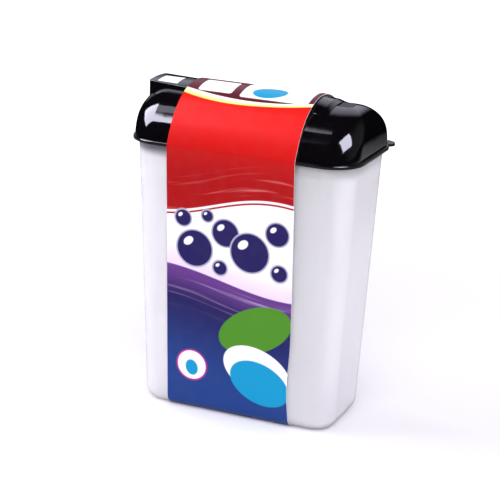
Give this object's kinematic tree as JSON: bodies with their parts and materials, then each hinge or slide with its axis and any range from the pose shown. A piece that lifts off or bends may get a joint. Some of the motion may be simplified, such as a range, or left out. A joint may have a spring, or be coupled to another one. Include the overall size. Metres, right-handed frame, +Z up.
{
  "type": "washing powder container",
  "caption": "Tall frosted tub with a glossy black domed lid, a dosing scoop whose handle lies along the crest, and a printed card sleeve wrapped round the middle.",
  "frame": {"origin": "centre of the resting face, the underside of the card sleeve where it passes under the tub", "axes": "+X along the width, towards the end with the scoop's open mouth; +Y to the back, the side with the finger tab and the glued lap; +Z up"},
  "size_m": [0.176, 0.098, 0.2414],
  "materials": {
    "frosted_plastic": "frosted translucent polypropylene with a fine satin skin",
    "black_lid": "high gloss black",
    "black_scoop": "high gloss black",
    "label_paper": "bare white, semi-matte",
    "printed_card": "coated card, printed with fields of colour"
  },
  "bodies": {
    "container": {"tub": "frosted_plastic", "lid": "black_lid", "doser": "black_scoop", "handle_label": "label_paper"},
    "sleeve": {"sleeve": "printed_card"}
  },
  "joints": [
    {"name": "sleeve_slide", "type": "slide", "parent": "container", "child": "sleeve", "axis": [1, 0, 0], "range_m": [0, 0.155]}
  ]
}
